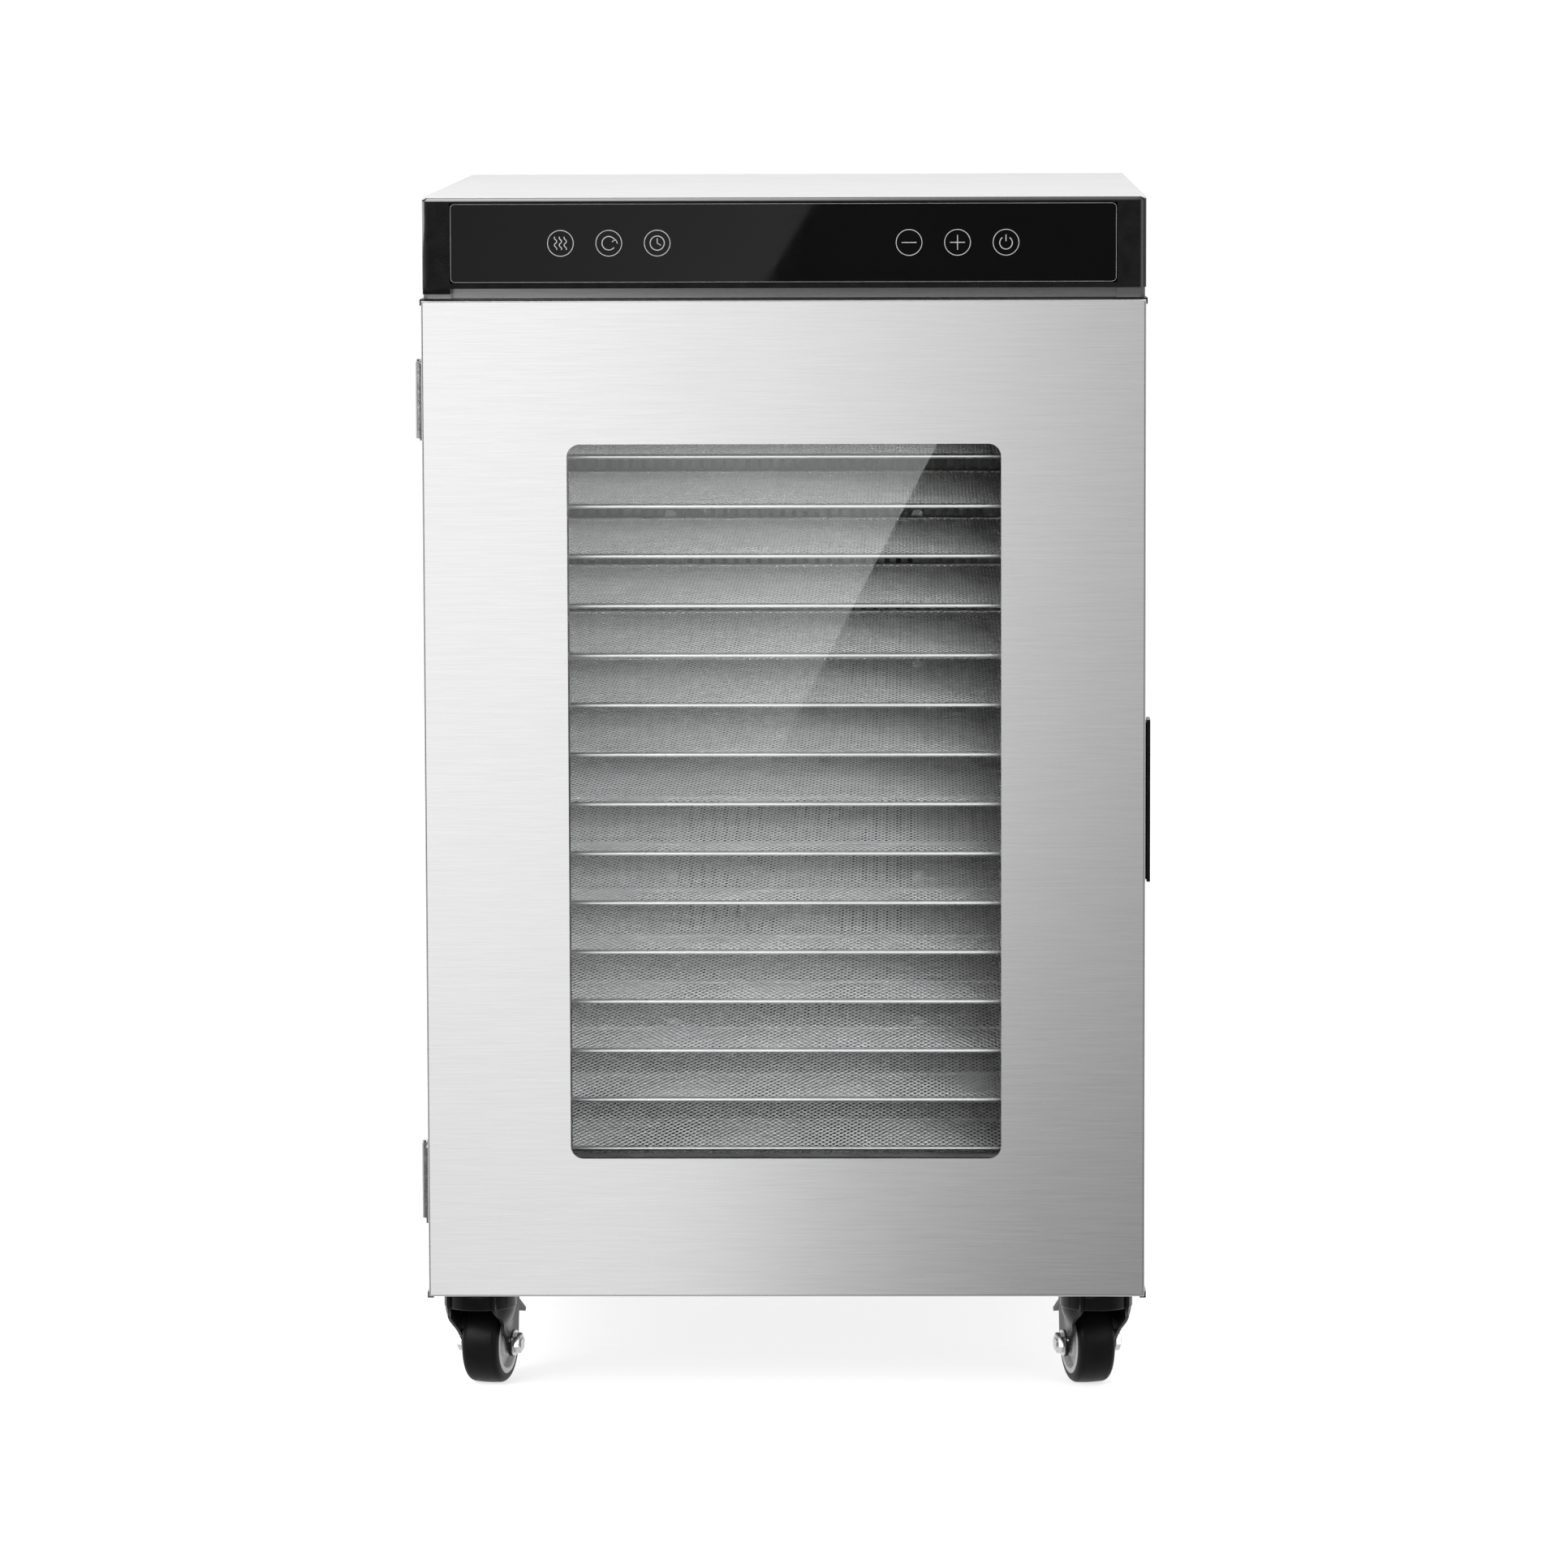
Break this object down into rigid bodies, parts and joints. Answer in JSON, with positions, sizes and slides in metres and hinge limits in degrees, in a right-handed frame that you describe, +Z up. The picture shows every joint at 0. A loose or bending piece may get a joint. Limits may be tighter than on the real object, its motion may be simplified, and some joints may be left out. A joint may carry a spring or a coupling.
{
  "type": "food dehydrator",
  "caption": "Upright food dehydrator cabinet on swivel casters, with a glazed side-hung door, sliding mesh trays, and fans and heaters behind a slotted baffle.",
  "frame": {"origin": "on the floor below the centre of the cabinet, with the four casters standing on it", "axes": "+Z up, the door faces -Y, the door's hinges are on the -X side"},
  "size_m": [0.4584, 0.5615, 0.758],
  "materials": {
    "pale_sheet": "satin pale grey",
    "brushed_stainless": "brushed, horizontal grain",
    "galvanised_sheet": "plain sheet",
    "chamber_steel": "satin",
    "tray_steel": "bright",
    "fan_metal": "satin",
    "motor_steel": "satin",
    "heater_tube": "heat-darkened",
    "polished_steel": "polished",
    "circuit_board": "solder mask",
    "black_plastic": "satin black",
    "black_glass": "glossy black",
    "clear_glass": "clear tempered",
    "wire_jacket": "matte",
    "black_rubber": "matte",
    "hinge_steel": "bright",
    "caster_steel": "gloss black",
    "caster_tread": "smooth black tread on a pale core"
  },
  "bodies": {
    "root": {"top_panel": "pale_sheet", "side_panel_left": "brushed_stainless", "side_panel_right": "brushed_stainless", "base_panel": "galvanised_sheet", "rear_panel": "galvanised_sheet", "front_frame": "brushed_stainless", "liner_left": "chamber_steel", "liner_right": "chamber_steel", "chamber_roof": "chamber_steel", "chamber_floor": "chamber_steel", "air_baffle": "chamber_steel", "fan_motors": "motor_steel", "heater_elements": "heater_tube", "temperature_probe": "polished_steel", "power_board": "circuit_board", "control_board": "circuit_board", "control_fascia": "black_plastic", "touch_panel": "black_glass", "wiring_loom": "wire_jacket", "power_inlet": "black_plastic", "hinge_cabinet_leaves": "hinge_steel", "hinge_pins": "polished_steel", "magnet_catches": "black_plastic", "cabinet_screws": "polished_steel", "caster_plates": "caster_steel"},
    "door": {"door_skin": "brushed_stainless", "door_corner_caps": "black_plastic", "door_glass": "clear_glass", "door_liner": "chamber_steel", "door_gaskets": "black_rubber", "door_handle": "black_plastic", "hinge_door_leaves": "hinge_steel"},
    "fan_upper": {"fan_impeller_upper": "fan_metal"},
    "fan_lower": {"fan_impeller_lower": "fan_metal"},
    "tray_01": {"tray_01": "tray_steel"},
    "tray_02": {"tray_02": "tray_steel"},
    "tray_03": {"tray_03": "tray_steel"},
    "tray_04": {"tray_04": "tray_steel"},
    "tray_05": {"tray_05": "tray_steel"},
    "tray_06": {"tray_06": "tray_steel"},
    "tray_07": {"tray_07": "tray_steel"},
    "tray_08": {"tray_08": "tray_steel"},
    "tray_09": {"tray_09": "tray_steel"},
    "tray_10": {"tray_10": "tray_steel"},
    "tray_11": {"tray_11": "tray_steel"},
    "tray_12": {"tray_12": "tray_steel"},
    "tray_13": {"tray_13": "tray_steel"},
    "tray_14": {"tray_14": "tray_steel"},
    "tray_15": {"tray_15": "tray_steel"},
    "tray_16": {"tray_16": "tray_steel"},
    "caster_fl": {"caster_fork_fl": "caster_steel"},
    "wheel_fl": {"caster_wheel_fl": "caster_tread"},
    "brake_left": {"brake_pedal_left": "black_plastic"},
    "caster_fr": {"caster_fork_fr": "caster_steel"},
    "wheel_fr": {"caster_wheel_fr": "caster_tread"},
    "brake_right": {"brake_pedal_right": "black_plastic"},
    "caster_rl": {"caster_fork_rl": "caster_steel"},
    "wheel_rl": {"caster_wheel_rl": "caster_tread"},
    "caster_rr": {"caster_fork_rr": "caster_steel"},
    "wheel_rr": {"caster_wheel_rr": "caster_tread"}
  },
  "joints": [
    {"name": "door_hinge", "type": "hinge", "parent": "root", "child": "door", "pos_m": [-0.2279, -0.2525, 0.38165], "axis": [0, 0, -1], "range_deg": [0, 170]},
    {"name": "tray_01_slide", "type": "slide", "parent": "root", "child": "tray_01", "axis": [0, -1, 0], "range_m": [0, 0.19]},
    {"name": "tray_02_slide", "type": "slide", "parent": "root", "child": "tray_02", "axis": [0, -1, 0], "range_m": [0, 0.19]},
    {"name": "tray_03_slide", "type": "slide", "parent": "root", "child": "tray_03", "axis": [0, -1, 0], "range_m": [0, 0.19]},
    {"name": "tray_04_slide", "type": "slide", "parent": "root", "child": "tray_04", "axis": [0, -1, 0], "range_m": [0, 0.19]},
    {"name": "tray_05_slide", "type": "slide", "parent": "root", "child": "tray_05", "axis": [0, -1, 0], "range_m": [0, 0.19]},
    {"name": "tray_06_slide", "type": "slide", "parent": "root", "child": "tray_06", "axis": [0, -1, 0], "range_m": [0, 0.19]},
    {"name": "tray_07_slide", "type": "slide", "parent": "root", "child": "tray_07", "axis": [0, -1, 0], "range_m": [0, 0.19]},
    {"name": "tray_08_slide", "type": "slide", "parent": "root", "child": "tray_08", "axis": [0, -1, 0], "range_m": [0, 0.19]},
    {"name": "tray_09_slide", "type": "slide", "parent": "root", "child": "tray_09", "axis": [0, -1, 0], "range_m": [0, 0.19]},
    {"name": "tray_10_slide", "type": "slide", "parent": "root", "child": "tray_10", "axis": [0, -1, 0], "range_m": [0, 0.19]},
    {"name": "tray_11_slide", "type": "slide", "parent": "root", "child": "tray_11", "axis": [0, -1, 0], "range_m": [0, 0.19]},
    {"name": "tray_12_slide", "type": "slide", "parent": "root", "child": "tray_12", "axis": [0, -1, 0], "range_m": [0, 0.19]},
    {"name": "tray_13_slide", "type": "slide", "parent": "root", "child": "tray_13", "axis": [0, -1, 0], "range_m": [0, 0.19]},
    {"name": "tray_14_slide", "type": "slide", "parent": "root", "child": "tray_14", "axis": [0, -1, 0], "range_m": [0, 0.19]},
    {"name": "tray_15_slide", "type": "slide", "parent": "root", "child": "tray_15", "axis": [0, -1, 0], "range_m": [0, 0.19]},
    {"name": "tray_16_slide", "type": "slide", "parent": "root", "child": "tray_16", "axis": [0, -1, 0], "range_m": [0, 0.19]},
    {"name": "fan_upper_spin", "type": "hinge", "parent": "root", "child": "fan_upper", "pos_m": [0, 0.1312, 0.4505], "axis": [0, 1, 0], "continuous": true},
    {"name": "fan_lower_spin", "type": "hinge", "parent": "root", "child": "fan_lower", "pos_m": [0, 0.1312, 0.2725], "axis": [0, 1, 0], "continuous": true},
    {"name": "caster_fl_swivel", "type": "hinge", "parent": "root", "child": "caster_fl", "pos_m": [-0.196, -0.221, 0.06], "axis": [0, 0, 1], "continuous": true},
    {"name": "caster_fl_roll", "type": "hinge", "parent": "caster_fl", "child": "wheel_fl", "pos_m": [-0.19082, -0.20168, 0.026], "axis": [0.9659, -0.2588, 0], "continuous": true},
    {"name": "brake_left_press", "type": "hinge", "parent": "caster_fl", "child": "brake_left", "pos_m": [-0.18901, -0.19492, 0.057], "axis": [-0.9659, 0.2588, 0], "range_deg": [0, 8]},
    {"name": "caster_fr_swivel", "type": "hinge", "parent": "root", "child": "caster_fr", "pos_m": [0.196, -0.221, 0.06], "axis": [0, 0, 1], "continuous": true},
    {"name": "caster_fr_roll", "type": "hinge", "parent": "caster_fr", "child": "wheel_fr", "pos_m": [0.19082, -0.20168, 0.026], "axis": [0.9659, 0.2588, 0], "continuous": true},
    {"name": "brake_right_press", "type": "hinge", "parent": "caster_fr", "child": "brake_right", "pos_m": [0.18901, -0.19492, 0.057], "axis": [-0.9659, -0.2588, 0], "range_deg": [0, 8]},
    {"name": "caster_rl_swivel", "type": "hinge", "parent": "root", "child": "caster_rl", "pos_m": [-0.196, 0.23, 0.06], "axis": [0, 0, 1], "continuous": true},
    {"name": "caster_rl_roll", "type": "hinge", "parent": "caster_rl", "child": "wheel_rl", "pos_m": [-0.19082, 0.24932, 0.026], "axis": [0.9659, -0.2588, 0], "continuous": true},
    {"name": "caster_rr_swivel", "type": "hinge", "parent": "root", "child": "caster_rr", "pos_m": [0.196, 0.23, 0.06], "axis": [0, 0, 1], "continuous": true},
    {"name": "caster_rr_roll", "type": "hinge", "parent": "caster_rr", "child": "wheel_rr", "pos_m": [0.19082, 0.24932, 0.026], "axis": [0.9659, 0.2588, 0], "continuous": true}
  ],
  "couplings": [
    {"joint": "tray_01_slide", "follows": "door_hinge", "m_per_rad": 0.064},
    {"joint": "tray_02_slide", "follows": "door_hinge", "m_per_rad": 0.064},
    {"joint": "tray_03_slide", "follows": "door_hinge", "m_per_rad": 0.064},
    {"joint": "tray_04_slide", "follows": "door_hinge", "m_per_rad": 0.064},
    {"joint": "tray_05_slide", "follows": "door_hinge", "m_per_rad": 0.064},
    {"joint": "tray_06_slide", "follows": "door_hinge", "m_per_rad": 0.064},
    {"joint": "tray_07_slide", "follows": "door_hinge", "m_per_rad": 0.064},
    {"joint": "tray_08_slide", "follows": "door_hinge", "m_per_rad": 0.064},
    {"joint": "tray_09_slide", "follows": "door_hinge", "m_per_rad": 0.064},
    {"joint": "tray_10_slide", "follows": "door_hinge", "m_per_rad": 0.064},
    {"joint": "tray_11_slide", "follows": "door_hinge", "m_per_rad": 0.064},
    {"joint": "tray_12_slide", "follows": "door_hinge", "m_per_rad": 0.064},
    {"joint": "tray_13_slide", "follows": "door_hinge", "m_per_rad": 0.064},
    {"joint": "tray_14_slide", "follows": "door_hinge", "m_per_rad": 0.064},
    {"joint": "tray_15_slide", "follows": "door_hinge", "m_per_rad": 0.064},
    {"joint": "tray_16_slide", "follows": "door_hinge", "m_per_rad": 0.064}
  ]
}
